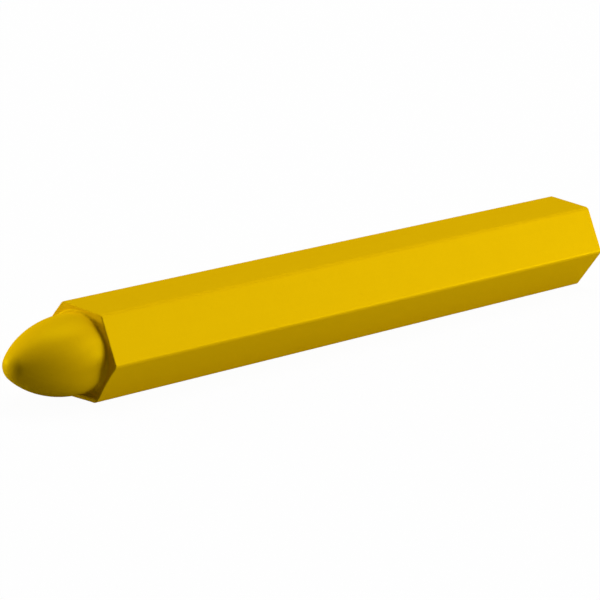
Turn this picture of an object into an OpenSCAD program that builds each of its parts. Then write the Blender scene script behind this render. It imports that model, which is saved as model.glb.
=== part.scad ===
// Marking chalk: a hexagonal stick moulded in one piece, with a bullet-shaped writing nose.
// It lies on one flat with its length along X and the nose toward -X. The middle of its
// bounding box stands on the origin.

/* [Stick] */
// Overall length, from the tip of the nose to the rear end
stick_length = 120; // [90:1:150]
// Width across two opposite flats of the hexagon
across_flats = 12; // [10:0.5:16]
// Radius along the six long edges
long_edge_radius = 0.7; // [0.6:0.1:1.5]
// Radius around the shoulder and around the rear end
end_edge_radius = 0.15; // [0.1:0.05:0.4]

/* [Nose] */
// How far the nose stands out of the shoulder
nose_length = 12.65; // [10:0.05:16]
// Width of the shoulder between the nose and the middle of each flat
shoulder_width = 0.7; // [0.6:0.05:1.4]
// Height of the upright foot of the nose, below its curved side
foot_height = 1.2; // [0.4:0.1:2]
// Radius of the rounded tip
tip_radius = 2.3; // [1.5:0.05:3]
// Radius of the hollow where the nose meets the shoulder
root_radius = 0.35; // [0.1:0.05:0.4]

/* [Hidden] */
$fn = 96;

body_length = stick_length - nose_length;
// Length of each straight side of the hexagon, between its rounded corners
straight_side = (across_flats - 2 * long_edge_radius) / sqrt(3);
// Every round stands this much outside the face that it runs into, so that it ends there in a
// clean line and doesn't just touch.
hair = 0.001;

// How far the nose's section reaches into the body, so that the two are one solid
overlap = 1;
foot_radius = across_flats / 2 - shoulder_width;
// The hollow leaves a narrow flat in front of the shoulder's rounded edge.
shoulder_flat = 0.05;
hollow_radius = min(root_radius, shoulder_width - end_edge_radius - shoulder_flat);

// The side of the nose is one arc. It starts upright on top of the foot, so its centre is level
// with the top of the foot, and its radius makes it run into the tip without a corner.
tip_centre = nose_length - tip_radius;
curve_height = tip_centre - foot_height;
side_radius = (foot_radius ^ 2 + curve_height ^ 2 - tip_radius ^ 2)
    / (2 * (foot_radius - tip_radius));
side_height = curve_height * side_radius / (side_radius - tip_radius);

// Rectangle about the origin with rounded corners.
module rounded_rectangle(width, height, radius) {
    square([width - 2 * radius, height], center = true);
    square([width, height - 2 * radius], center = true);
    for (x = [-1, 1], y = [-1, 1])
        translate([x * (width / 2 - radius), y * (height / 2 - radius)]) circle(radius);
}

// The part of a section to the right of its axis, ready to be turned about that axis.
module right_half(reach) {
    intersection() {
        children();
        translate([0, -reach]) square([reach, 2 * reach]);
    }
}

// One pair of opposite flats with the rounded ends between them, as wide as the flats.
module slab() {
    rotate([90, 0, 90]) linear_extrude(straight_side, center = true)
        rounded_rectangle(across_flats + 2 * hair, body_length + 2 * hair, end_edge_radius + hair);
}

// One long edge: a round post, rounded at both rims.
module corner_post() {
    rotate_extrude() right_half(body_length)
        rounded_rectangle(2 * long_edge_radius + 4 * hair, body_length + 2 * hair, end_edge_radius + hair);
}

// The six-sided body, upright. The sharp prism gives its flats and its two ends. Three crossed
// slabs with a post in each corner round every edge of it, and every corner.
module body() {
    intersection() {
        cylinder(h = body_length, d = across_flats * 2 / sqrt(3), center = true, $fn = 6);
        union() {
            for (turn = [0 : 60 : 120]) rotate(turn) slab();
            for (turn = [0 : 60 : 300]) rotate(turn) translate([straight_side, 0]) corner_post();
        }
    }
}

// Half section of the nose, measured up from the shoulder.
module nose_section() {
    // Foot
    translate([0, -overlap]) square([foot_radius, overlap + foot_height]);
    // Hollow around the foot
    difference() {
        translate([0, -overlap]) square([foot_radius + hollow_radius, overlap + hollow_radius]);
        translate([foot_radius + hollow_radius - hair, hollow_radius - hair]) circle(hollow_radius);
    }
    // Curved side
    translate([0, foot_height]) intersection() {
        translate([foot_radius - side_radius, 0]) circle(side_radius, $fn = 384);
        square([foot_radius, side_height]);
    }
    // Tip
    translate([0, tip_centre - hair]) right_half(2 * tip_radius) circle(tip_radius + hair);
}

module chalk_stick() {
    color("gold") translate([0, 0, across_flats / 2]) rotate([90, 0, -90]) {
        translate([0, 0, -nose_length / 2]) body();
        translate([0, 0, stick_length / 2 - nose_length]) rotate_extrude() nose_section();
    }
}

chalk_stick();
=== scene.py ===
# %% [markdown]
# # A stick of marking chalk
#
# The object is one moulded stick of wax and yellow pigment. It has six flat sides, softly
# rounded edges and a blunt writing nose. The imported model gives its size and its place. This
# lesson builds a finer skin over it, gives the skin a waxy finish, and sets up a small
# studio table: a white sheet, five soft lamps and a long lens.

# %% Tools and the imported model
import math

import bpy
import numpy as np
from mathutils import Matrix, Vector, noise


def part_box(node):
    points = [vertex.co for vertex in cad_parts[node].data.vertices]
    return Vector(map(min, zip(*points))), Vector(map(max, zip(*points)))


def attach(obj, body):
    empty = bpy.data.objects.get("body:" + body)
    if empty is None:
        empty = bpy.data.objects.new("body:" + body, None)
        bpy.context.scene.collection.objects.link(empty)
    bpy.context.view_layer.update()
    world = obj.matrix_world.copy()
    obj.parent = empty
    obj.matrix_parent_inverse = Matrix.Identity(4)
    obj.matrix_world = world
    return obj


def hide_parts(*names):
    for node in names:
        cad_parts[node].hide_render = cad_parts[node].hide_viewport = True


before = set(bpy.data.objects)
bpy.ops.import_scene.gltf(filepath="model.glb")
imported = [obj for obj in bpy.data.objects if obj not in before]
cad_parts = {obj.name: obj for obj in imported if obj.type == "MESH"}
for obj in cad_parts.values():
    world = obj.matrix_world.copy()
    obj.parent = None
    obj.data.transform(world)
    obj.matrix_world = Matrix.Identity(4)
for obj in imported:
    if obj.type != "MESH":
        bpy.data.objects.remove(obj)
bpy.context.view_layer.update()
low, high = (Vector(corner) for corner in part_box("chalk_stick"))
print("the stick lies between", tuple(low), "and", tuple(high))

# %% [markdown]
# ## The camera
#
# A small object is usually taken from well back with a long lens, because a short lens close
# by would make the near end look swollen. The camera here stands half a metre away, low and
# in front of the nose. It is placed by plain facts: how far away it is, how high, from which
# side, and how much it is tipped. Those are easier to adjust than a matrix, so the matrix is
# worked out from them.

# %% Camera
camera_distance = 0.50726  # metres from the point that the camera aims at
camera_side = 217.735  # compass direction from the stick to the camera, in degrees from +X
camera_height = 16.263  # degrees above the table
camera_tip = 6.887  # degrees that the camera leans about its own line of sight
aim_point = Vector((0.00029, 0.00208, 0.00515))
focal_length = 220.81  # millimetres, on a sensor that is 36 mm wide


def toward(side, height):
    """Unit vector that points to this compass direction and height, both in degrees."""
    side, height = math.radians(side), math.radians(height)
    flat = math.cos(height)
    return Vector((flat * math.cos(side), flat * math.sin(side), math.sin(height)))


lens = bpy.data.cameras.new("long_lens")
lens.lens = focal_length
lens.sensor_width = 36
lens.clip_start = 0.01
lens.clip_end = 20
camera = bpy.data.objects.new("camera", lens)
bpy.context.collection.objects.link(camera)
bpy.context.scene.camera = camera

to_camera = toward(camera_side, camera_height)
look = (-to_camera).to_track_quat("-Z", "Y").to_matrix().to_4x4()
lean = Matrix.Rotation(math.radians(camera_tip), 4, "Z")
camera.matrix_world = Matrix.Translation(aim_point + camera_distance * to_camera) @ look @ lean
print("the camera stands at", tuple(round(v, 4) for v in camera.matrix_world.translation))

# %% [markdown]
# ## The outline of the body
#
# Seen from its end, the body is a hexagon with rounded corners. Such an outline can be drawn
# as a smaller sharp hexagon with the same width of margin all round. Every point of the
# outline is then a point of the small hexagon plus one step outward. The step has the same
# length everywhere, so a rounded rim needs only a shorter step, and the flats and the
# corners shrink together as they do on the real stick.

# %% Sizes of the stick
MM = 0.001
length = high.x - low.x
across_flats = high.z - low.z
axis_height = (high.z + low.z) / 2
long_edge_radius = 0.7 * MM
end_edge_radius = 0.15 * MM
nose_length = 12.65 * MM
shoulder_width = 0.7 * MM
foot_height = 1.2 * MM
foot_radius = across_flats / 2 - shoulder_width
hollow_radius = 0.35 * MM
tip_radius = 2.3 * MM
shoulder_x = low.x + nose_length
print(f"length {length / MM:.1f} mm, across the flats {across_flats / MM:.1f} mm")

# %% [markdown]
# Flat sides and rounds meet in smooth shading, and smooth shading bends the light on a flat
# that has no quads of its own beside the round. So each flat gets a very narrow strip along
# both of its edges. The strip takes up the bending, and the rest of the flat stays flat.
#
# Each point also carries a number that says how much hands and paper rub there. The long
# edges and the rims get the most, and it fades over half a millimetre.

# %% Stations around the outline
corner_steps = 10  # quads round each long edge
side_steps = 14  # quads across each flat
edge_strip = 0.08 * MM
rub_reach = 0.5 * MM

inner_corner = (across_flats / 2 - long_edge_radius) / math.cos(math.radians(30))
inner_side = inner_corner  # the sides of a hexagon are as long as its corners are far out


def side_fractions(side, strip, steps):
    """Places along one straight side, from 0 to 1, with a narrow strip at both ends."""
    edge = strip / side
    return [edge, *np.linspace(edge, 1 - edge, steps - 1)[1:-1], 1 - edge]


def on_circle(degrees):
    """Point of the unit circle at this angle."""
    return np.array([math.cos(math.radians(degrees)), math.sin(math.radians(degrees))])


def rub_at(distance):
    """How much a point is rubbed at this distance from an edge: 1 on the edge itself."""
    return math.exp(-distance / rub_reach)


spine, outward, rub = [], [], []
for turn in range(0, 360, 60):
    corner, following = inner_corner * on_circle(turn), inner_corner * on_circle(turn + 60)
    for angle in np.linspace(turn - 30, turn + 30, corner_steps + 1):
        spine.append(corner)
        outward.append(on_circle(angle))
        rub.append(1.0)
    for fraction in side_fractions(inner_side, edge_strip, side_steps):
        spine.append(corner + fraction * (following - corner))
        outward.append(on_circle(turn + 30))
        rub.append(rub_at(min(fraction, 1 - fraction) * inner_side))
spine, outward, rub = np.array(spine), np.array(outward), np.array(rub)
around = len(spine)
print(around, "points in each ring")

# %% [markdown]
# The body's rings are hexagons and the nose's are circles. A circle's points stand on the
# bearings of the body's own points, so a hexagon and a circle can be joined point by point
# and hardly any quad between them is skewed.

# %% Two kinds of ring
outline = spine + long_edge_radius * outward
bearing = np.arctan2(outline[:, 1], outline[:, 0])


def hexagon_ring(x, margin):
    """Ring of the body at x, with this margin around the small hexagon."""
    return np.column_stack([np.full(around, x), spine + margin * outward])


def circle_ring(x, radius):
    """Round ring at x, with its points on the same bearings as the hexagon's."""
    return np.column_stack([np.full(around, x), radius * np.cos(bearing), radius * np.sin(bearing)])


print(f"the body's outline is {2 * np.abs(outline[:, 0]).max() / MM:.2f} mm over its corners")

# %% [markdown]
# ## From rings to a skin
#
# The stick could be a cylinder with a bevel, but a bevel doesn't give the nose or the hollow
# at its foot. A stack of rings does it all with one kind of face. The rings start in the
# middle of the rear end, run round its rim and along the body, turn over the shoulder and
# down into the hollow, and climb the nose to its tip.
#
# The rear end is one flat face, so its rings are smaller and smaller hexagons in one plane.
# They stand closer together near the rim, where the wear changes.

# %% Rings of the rear end
rings, wear = [], []
rear_shares = (0.02, 0.2, 0.4, 0.6, 0.8, 0.92, 0.985)  # of the way from the axis to the rim


def add_ring(ring, worn):
    """Adds one ring to the stack, with how worn each of its points is."""
    rings.append(ring)
    wear.append(np.broadcast_to(worn, around))


for share in rear_shares:
    ring = hexagon_ring(high.x, long_edge_radius - end_edge_radius)
    ring[:, 1:] *= share
    add_ring(ring, rub_at((1 - share) * across_flats / 2))
print(len(rings), "rings in the rear end")

# %% [markdown]
# Both ends of the body have the same rim, a quarter round, and one function gives them. The
# second one runs the other way. Between the rims the body is straight, but it still gets
# many rings, because its sides are to dip a little later on.

# %% Rings of the rims and the body
rim_steps, body_steps = 8, 120
rim = np.radians(np.linspace(0, 90, rim_steps + 1))


def add_rim(face_x, inward, angles):
    """Adds a rim's rings. The flat is at face_x, and inward is 1 or -1: the body's way along X."""
    for angle in angles:
        inset = end_edge_radius * (1 - math.sin(angle))
        x = face_x + inward * end_edge_radius * (1 - math.cos(angle))
        add_ring(hexagon_ring(x, long_edge_radius - inset), 1.0)


add_rim(high.x, -1, rim)
body_start, body_end = high.x - end_edge_radius, shoulder_x + end_edge_radius
for x in np.linspace(body_start - edge_strip, body_end + edge_strip, body_steps + 1):
    from_rim = min(body_start - x, x - body_end)
    add_ring(hexagon_ring(x, long_edge_radius), np.maximum(rub, rub_at(from_rim)))
add_rim(shoulder_x, 1, reversed(rim))
print(len(rings), "rings up to the shoulder")

# %% [markdown]
# ## The shoulder and the hollow
#
# The shoulder is the narrow flat left between the round foot of the nose and the six-sided
# body. Its outer edge is a hexagon and its inner edge a circle. Both rings have the same
# number of points on nearly the same bearings, so straight steps from one to the other make
# a clean, flat web of quads. Then a quarter round leads into the upright foot. Nothing rubs
# in there, so it isn't worn.

# %% Rings of the shoulder, the hollow and the foot
shoulder_wear = 0.8  # at the outer edge of the shoulder
shoulder_shares = (0.1, 0.5, 0.9, 1)  # of the way in from that edge
foot_shares = (0.1, 0.5)  # of the way along the foot
shoulder_edge = rings[-1]
hollow_edge = circle_ring(shoulder_x, foot_radius + hollow_radius)
for share in shoulder_shares:
    add_ring(shoulder_edge + share * (hollow_edge - shoulder_edge), shoulder_wear * (1 - share))

hollow_steps = 6
for angle in np.radians(np.linspace(0, 90, hollow_steps + 1)[1:]):
    radius = foot_radius + hollow_radius * (1 - math.sin(angle))
    x = shoulder_x - hollow_radius * (1 - math.cos(angle))
    add_ring(circle_ring(x, radius), 0.0)

foot_end = shoulder_x - foot_height
hollow_end = shoulder_x - hollow_radius
for share in foot_shares:
    add_ring(circle_ring(hollow_end + share * (foot_end - hollow_end), foot_radius), 0.0)
print(len(rings), "rings up to the nose")

# %% [markdown]
# ## The nose
#
# The nose is turned: any section through its axis is the same. Its side is one long arc that
# starts parallel to the axis, and its tip is a ball. The long arc's radius isn't chosen
# freely. Only one radius starts upright at the foot and also runs into the ball without a
# crease, and it follows from the other sizes. The tip is the part that has met paper and
# wood, so the wear grows toward it.

# %% Rings of the nose
nose_steps, tip_steps = 26, 16
most_nose_wear = 0.7
tip_x = low.x + tip_radius
run = foot_end - tip_x
side_radius = (foot_radius**2 + run**2 - tip_radius**2) / (2 * (foot_radius - tip_radius))
meeting_angle = math.asin(run / (side_radius - tip_radius))
print(f"side radius {side_radius / MM:.2f} mm, tip met at {math.degrees(meeting_angle):.1f} degrees")


def nose_wear(x):
    """Wear of the nose at x: none at the foot, most at the tip. The cube keeps it near the tip."""
    return most_nose_wear * ((foot_end - x) / (foot_end - low.x)) ** 3


for angle in np.linspace(0, meeting_angle, nose_steps + 1):
    x = foot_end - side_radius * math.sin(angle)
    add_ring(circle_ring(x, foot_radius - side_radius * (1 - math.cos(angle))), nose_wear(x))
for angle in np.linspace(meeting_angle, math.pi / 2, tip_steps + 1)[1:-1]:
    x = tip_x - tip_radius * math.sin(angle)
    add_ring(circle_ring(x, tip_radius * math.cos(angle)), nose_wear(x))
print(len(rings), "rings in all")

# %% [markdown]
# ## Dips in the cast sides
#
# Wax shrinks a little as it sets, so no side of a cast stick is quite flat. The dips are far
# too shallow to see as a shape, but the light on a side wanders with them, and a skin without
# them looks like a drawing. A bump texture could fake them. Real dips also show from the side
# and in the mesh itself, so the points themselves are moved. They only move inward, which
# keeps the stick within its true size.

# %% Dips of the cast sides
dip_depth = 0.012 * MM
dip_spacing = 8 * MM
dip_stretch = 2  # the dips are this much longer along the stick than across it
dip_core = 4 * MM  # nearer to the axis than this, the dips fade out
dip_seed = Vector((31.7, 4.2, 11.9))


def dip(point):
    """Share of the full depth to which the wax has sunk at this point, from 0 to 1."""
    stretched = Vector((point[0] / dip_stretch, point[1], point[2])) / dip_spacing
    return min(1, max(0, 0.5 + 0.5 * noise.noise(stretched + dip_seed)))


def sunk(ring):
    """The ring with its points moved toward the axis."""
    depth = np.array([dip(point) for point in ring]) * dip_depth
    reach_out = np.linalg.norm(ring[:, 1:], axis=1)
    moved = ring.copy()
    moved[:, 1:] *= (1 - depth / np.maximum(reach_out, dip_core))[:, None]
    return moved


print(f"the sides dip by up to {dip_depth / MM:.3f} mm")

# %% [markdown]
# Two corners of the shoulder sit further back than the others, as if they had been bumped or
# the mould hadn't quite filled there. The nearest points are pushed along the stick. The
# sides are the same all along, so this moves the corner and leaves the sides flat.

# %% Corners that sit back
corner_reach = inner_corner + long_edge_radius
push_length = 5 * MM  # the push fades out over this length of the body
hair = 0.01 * MM  # allows for rounding when two places are compared
set_back_corners = [(60, 0.15 * MM, 1.6 * MM), (240, 0.7 * MM, 3.0 * MM)]  # degrees, depth, width


def set_back(ring):
    """The ring with its points pushed along the stick, near the corners that sit back."""
    moved = ring.copy()
    belongs_to_nose = ring[:, 0].min() < hollow_end - hair
    if belongs_to_nose:
        return moved
    near = np.clip(1 - (ring[:, 0] - shoulder_x) / push_length, 0, 1)
    for turn, depth, width in set_back_corners:
        away = np.linalg.norm(ring[:, 1:] - corner_reach * on_circle(turn), axis=1)
        moved[:, 0] += depth * np.exp(-((away / width) ** 2)) * near
    return moved


rings = np.array([sunk(set_back(ring)) for ring in rings])
print(len(set_back_corners), "corners of the shoulder sit back")

# %% [markdown]
# ## Skin
#
# Neighbouring rings are joined by quads, and a fan of triangles closes each end. One mesh is
# right for a stick cast in one piece, because there is no joint to show. It takes the place
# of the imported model's mesh, which is coarser and has no dips.
#
# The faces are wound so that their fronts look outward. The gloss needs that: it reads the
# slant between the surface and the eye, and from inside the wax the answer would be wrong.

# %% Skin
points = [tuple(point) for point in rings.reshape(-1, 3)]
rear_centre, tip = len(points), len(points) + 1
points += [(high.x, 0, 0), (low.x, 0, 0)]

faces = []
last = (len(rings) - 1) * around
for column in range(around):
    beside = (column + 1) % around
    for near in range(0, last, around):
        far = near + around
        faces.append((near + column, far + column, far + beside, near + beside))
    faces.append((rear_centre, column, beside))
    faces.append((tip, last + beside, last + column))

skin = bpy.data.meshes.new("chalk_skin")
skin.from_pydata(points, [], faces)
skin.transform(Matrix.Translation((0, 0, axis_height)))
skin.shade_smooth()
worn = skin.attributes.new("worn", "FLOAT", "POINT")
worn.data.foreach_set("value", np.append(np.concatenate(wear), [0.0, nose_wear(low.x)]))
skin.update()
stick = bpy.data.objects.new("chalk_skin", skin)
bpy.context.collection.objects.link(stick)
print(len(skin.vertices), "points and", len(skin.polygons), "faces in the skin")

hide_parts("chalk_stick")
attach(stick, "root")

# %% [markdown]
# ## Shader maths
#
# A finish is worked out by nodes, and a formula drawn as a web of nodes is hard to read. The
# class below wraps one socket, so that `1 - mask * 0.3` can be written as such. Every other
# kind of node comes from one method, which takes its type, its settings and its inputs.


# %% A class for sockets
class Signal:
    """One output socket in a node tree, with Python's arithmetic on it."""

    def __init__(self, tree, socket=None):
        self.tree, self.socket = tree, socket

    def node(self, kind, settings=None, inputs=None, output=0):
        """Adds a node, sets it up and joins its inputs. Returns one of its outputs."""
        made = self.tree.nodes.new(kind)
        for name, value in (settings or {}).items():
            setattr(made, name, value)
        for name, value in (inputs or {}).items():
            if isinstance(value, Signal):
                self.tree.links.new(value.socket, made.inputs[name])
            else:
                made.inputs[name].default_value = value
        return Signal(self.tree, made.outputs[output] if len(made.outputs) else None)

    def maths(self, operation, first, second):
        """Adds a Math node. Either of its values may be a Signal or a number."""
        return self.node("ShaderNodeMath", {"operation": operation}, {0: first, 1: second})

    def __add__(self, other):
        return self.maths("ADD", self, other)

    def __mul__(self, other):
        return self.maths("MULTIPLY", self, other)

    def __sub__(self, other):
        return self.maths("SUBTRACT", self, other)

    def __rsub__(self, other):
        return self.maths("SUBTRACT", other, self)

    __radd__, __rmul__ = __add__, __mul__

    def limited(self):
        """The same value, held between 0 and 1."""
        return self.node("ShaderNodeClamp", inputs={"Value": self})


def new_material(name):
    """An empty material, and a Signal to start its nodes from."""
    material = bpy.data.materials.new(name)
    material.use_nodes = True
    material.node_tree.nodes.clear()
    print("new material:", name)
    return material, Signal(material.node_tree)


# %% [markdown]
# ## Wax and pigment
#
# Marking chalk is paraffin filled with so much pigment that it looks solid. Three things
# tell it from yellow plastic. Its colour has faint clouds, where the melt was stirred less
# well. Its surface has a fine dry grain and a few shallow pits, where air met the mould. And
# its gloss is soft, and softer still where the edges have been rubbed.
#
# All of it is measured in millimetres on the stick itself, so the grain has one size
# everywhere. A picture of wax wrapped around the stick would stretch on the nose and show a
# seam, and solid noise does neither.

# %% Where a point of the wax is, in millimetres
wax, start = new_material("marking_wax")
place = start.node("ShaderNodeTexCoord", output="Object")
place = start.node("ShaderNodeVectorMath", {"operation": "SCALE"}, {0: place, "Scale": 1 / MM})


def grain_of(size, detail, stretch=(1, 1, 1), shift=0.0):
    """Noise around 0, with lumps of about this size in millimetres.

    Stretch below 1 draws the lumps out along that axis. Shift moves to another part of the
    noise, so that two grains don't repeat each other.
    """
    spot = start.node(
        "ShaderNodeVectorMath",
        {"operation": "MULTIPLY_ADD"},
        {0: place, 1: stretch, 2: (shift, shift, shift)},
    )
    inputs = {"Vector": spot, "Scale": 1 / size, "Detail": detail}
    return start.node("ShaderNodeTexNoise", inputs=inputs) - 0.5


# %% [markdown]
# The clouds are large and the grain is small. The draw marks come from the mould: the stick
# is pushed out of it lengthwise, which leaves faint streaks along the sides. The pits are the
# rare high spots of one more noise, cut off so that nothing is left between them.

# %% Clouds, grain, draw marks, pits and wear
pit_level = 0.2  # noise below this leaves the wax whole
pit_slope = 9  # how sharply a pit's edge falls
clouds = grain_of(size=5.0, detail=3.0)
fine = grain_of(size=0.28, detail=2.0, shift=7.3)
dust = grain_of(size=0.9, detail=2.0, shift=2.9)
draw_marks = grain_of(size=0.7, detail=2.0, stretch=(0.04, 1, 1), shift=5.1)
pits = ((grain_of(size=0.55, detail=1.0, shift=9.4) - pit_level) * pit_slope).limited()
rubbed = start.node("ShaderNodeAttribute", {"attribute_name": "worn"}, output="Fac")
print("the wax has", len(wax.node_tree.nodes), "nodes so far")

# %% [markdown]
# The bump adds up the small heights. Each is given in millimetres, and the pits go down. A
# rubbed edge has lost its grain, so the grain fades there.

# %% Small relief
grain_height = 0.006  # millimetres, as the next two
mark_height = 0.002
pit_depth = 0.012
rubbed_away = 0.5  # share of the grain that is lost on an edge
height_mm = fine * grain_height * (1 - rubbed * rubbed_away)
height_mm = height_mm + draw_marks * mark_height - pits * pit_depth
relief = start.node(
    "ShaderNodeBump", inputs={"Strength": 1.0, "Distance": 1.0 * MM, "Height": height_mm}
)
print("grain", grain_height, "mm high, draw marks", mark_height, "mm, pits", pit_depth, "mm deep")

# %% [markdown]
# The colour lies between a deep and a pale shade of the same yellow. Clouds and dust move it
# a little either way. The pits are painted darker: a painted shade for the shade inside
# them, which makes them look deeper. The difference is kept small. Cast wax is very even, and
# strong clouds would look like clay.

# %% Colour of the pigment
deep_yellow = (0.765, 0.450, 0.0006, 1)
pale_yellow = (0.835, 0.510, 0.0012, 1)
cloud_tint = 0.35
dust_tint = 0.25
grain_tint = 0.45
mark_tint = 0.2
# painted shade: the pits' colour is lowered by this share, standing in for the shade inside them
pit_painted_shade = 0.4
paleness_and_pit_shade = 0.5 + clouds * cloud_tint + dust * dust_tint + fine * grain_tint
paleness_and_pit_shade = paleness_and_pit_shade + draw_marks * mark_tint - pits * pit_painted_shade
colour_inputs = {0: paleness_and_pit_shade.limited(), 6: deep_yellow, 7: pale_yellow}  # Factor, A and B
yellow = start.node("ShaderNodeMix", {"data_type": "RGBA"}, colour_inputs, output=2)
print("the pigment lies between", deep_yellow[:3], "and", pale_yellow[:3])

# %% [markdown]
# ## Gloss
#
# Plain wax has a white gloss. On a yellow as deep as this one a white gloss would turn the
# lit sides pale and milky, which the real stick never looks. A little of the pigment sits in
# the film of wax on top and colours its gloss as well. So the gloss is a layer of its own,
# with its own yellow, and it is mixed in by the slant: little where the surface faces the
# eye, more where it turns away. One ready-made plastic shader can't do that, because it
# keeps its gloss white at a slant. The rule for clear glass would make a side seen almost
# edge-on into a mirror. Grainy wax never gets that far, so its share of gloss has a ceiling.

# %% Gloss and finished surface
gloss_colour = (1.0, 0.74, 0.0, 1)
gloss_index = 1.45
most_gloss = 0.13  # ceiling of the gloss's share
wax_dullness = 0.41
grain_dullness = 0.12
dust_dullness = 0.08
pit_dullness = 0.15
rubbed_dullness = 0.04
dullness = wax_dullness + fine * grain_dullness + dust * dust_dullness
dullness = dullness + pits * pit_dullness + rubbed * rubbed_dullness
body = start.node(
    "ShaderNodeBsdfPrincipled",
    inputs={"Base Color": yellow, "Roughness": dullness, "Specular IOR Level": 0.0, "Normal": relief},
)
shine = start.node(
    "ShaderNodeBsdfGlossy", inputs={"Color": gloss_colour, "Roughness": dullness, "Normal": relief}
)
slant = start.node("ShaderNodeFresnel", inputs={"IOR": gloss_index, "Normal": relief})
gloss_share = slant.maths("MINIMUM", slant, most_gloss)
surface = start.node("ShaderNodeMixShader", inputs={0: gloss_share, 1: body, 2: shine})
start.node("ShaderNodeOutputMaterial", inputs={"Surface": surface})
skin.materials.append(wax)
print("the wax has", len(wax.node_tree.nodes), "nodes")

# %% [markdown]
# ## The table
#
# The stick lies on a sheet of white paper that fills the view. Paper as white as that would
# throw so much light up at the stick that its lower sides would lose their shade. In a
# studio the paper right under the object is lit apart from the rest of it. Here the paper
# is white to the camera and grey to the light that bounces off it. In reflections a quarter
# of its white is left. A small share of what the camera sees is still plain lit paper, and
# that share keeps the stick's soft shadow.

# %% Sheet of paper
reach = 3.0  # metres from the middle to each side
paper_gap = 0.02 * MM  # keeps the paper clear of the stick's lowest side
floor_mesh = bpy.data.meshes.new("floor")
corners = [(-reach, -reach, 0), (reach, -reach, 0), (reach, reach, 0), (-reach, reach, 0)]
floor_mesh.from_pydata(corners, [], [(0, 1, 2, 3)])
floor = bpy.data.objects.new("floor", floor_mesh)
floor.location.z = -paper_gap
bpy.context.collection.objects.link(floor)
print(f"the sheet is {2 * reach:.0f} m wide")

# %% [markdown]
# Whether the paper is white or grey depends on the ray that meets it: one from the camera,
# one that was mirrored by a shiny surface, or one that only carries light.

# %% White for the camera, grey for the light
paper_white = 0.9
paper_bounce = 0.3
lit_share = 0.03  # how much of the camera's view is plain lit paper
mirror_share = 0.25  # how much of the white is left in reflections


def ray_kinds(start):
    """Signals that are 1 for a ray from the camera, and for one seen in a shiny surface."""
    seen = start.node("ShaderNodeLightPath", output="Is Camera Ray")
    mirrored = start.node("ShaderNodeLightPath", output="Is Glossy Ray")
    through = start.node("ShaderNodeLightPath", output="Is Transmission Ray")
    return seen, (mirrored + through).limited()


paper, start = new_material("white_paper")
seen, mirrored = ray_kinds(start)
whiteness = paper_bounce + seen * (paper_white - paper_bounce)
tint = start.node("ShaderNodeCombineColor", inputs={0: whiteness, 1: whiteness, 2: whiteness})
lit = start.node("ShaderNodeBsdfDiffuse", inputs={"Color": tint})
white = start.node("ShaderNodeEmission", inputs={"Strength": 1.0})
glow_share = seen * (1 - lit_share) + mirrored * mirror_share
sheet = start.node("ShaderNodeMixShader", inputs={0: glow_share, 1: lit, 2: white})
start.node("ShaderNodeOutputMaterial", inputs={"Surface": sheet})
floor_mesh.materials.append(paper)
print("the paper sends back", paper_bounce, "of the light and shows", lit_share, "of its shade")

# %% [markdown]
# ## The room
#
# Beyond the paper the room is white too for the camera, and a quarter as bright in
# reflections. A full white room would lay a veil over the gloss on every side and lift the
# dark ones. The room gives the stick no other light, because all of that comes from the
# lamps.

# %% Room
room = bpy.data.worlds.new("room")
bpy.context.scene.world = room
room.use_nodes = True
room.node_tree.nodes.clear()
start = Signal(room.node_tree)
seen, mirrored = ray_kinds(start)
glow = start.node(
    "ShaderNodeBackground",
    inputs={"Color": (1, 1, 1, 1), "Strength": seen + mirrored * mirror_share},
)
start.node("ShaderNodeOutputWorld", inputs={"Surface": glow})
print("the room shows", mirror_share, "of its white in reflections")

# %% [markdown]
# ## The lamps
#
# Six flat sides of one colour only tell apart if each gets its own share of light. A long low
# panel to the right, level with the stick, makes the side toward the camera bright and leaves
# the one below it half as bright. A second low panel stands to the left. It draws a bright
# rim along the nose, and the nose shades the shoulder beside it, so that the step between
# them reads. The top is lit from above and slightly behind. Two weaker panels stand higher
# on either side and soften the change between them. Nothing stands beside the camera,
# because a light there would flatten the nose: without one, its front keeps a dark patch
# that shows how round it is.
#
# Each lamp is a flat panel, because its soft edge comes from its width. They all face the
# stick from the same distance, so their powers can be compared.

# %% Lamps
lamp_distance = 1.2  # metres


def softbox(name, side, height, width, tall, power):
    """Panel of light that faces the stick from this side and height, both in degrees.

    Its width and how tall it is are in metres, and its power is in watts.
    """
    light = bpy.data.lights.new(name, "AREA")
    light.shape = "RECTANGLE"
    light.size, light.size_y = width, tall
    light.energy = power
    holder = bpy.data.objects.new(name, light)
    direction = toward(side, height)
    turn = direction.to_track_quat("Z", "Y").to_matrix().to_4x4()
    holder.matrix_world = Matrix.Translation(lamp_distance * direction) @ turn
    holder.visible_camera = False
    bpy.context.collection.objects.link(holder)
    print(f"{name}: {power} W from {side} degrees, {height} degrees up")


softbox("left_low", side=125, height=5, width=0.5, tall=0.2, power=7.6)
softbox("left_high", side=130, height=32, width=0.4, tall=0.4, power=3.5)
softbox("right_low", side=327, height=5, width=0.9, tall=0.2, power=10.4)
softbox("right_high", side=310, height=32, width=0.4, tall=0.4, power=3.7)
softbox("overhead", side=12, height=76, width=0.9, tall=0.4, power=8.2)

# %% [markdown]
# ## How the colours are shown
#
# The colours are shown as they are written, without a film look.

# %% How the colours are shown
bpy.context.scene.view_settings.view_transform = "Standard"
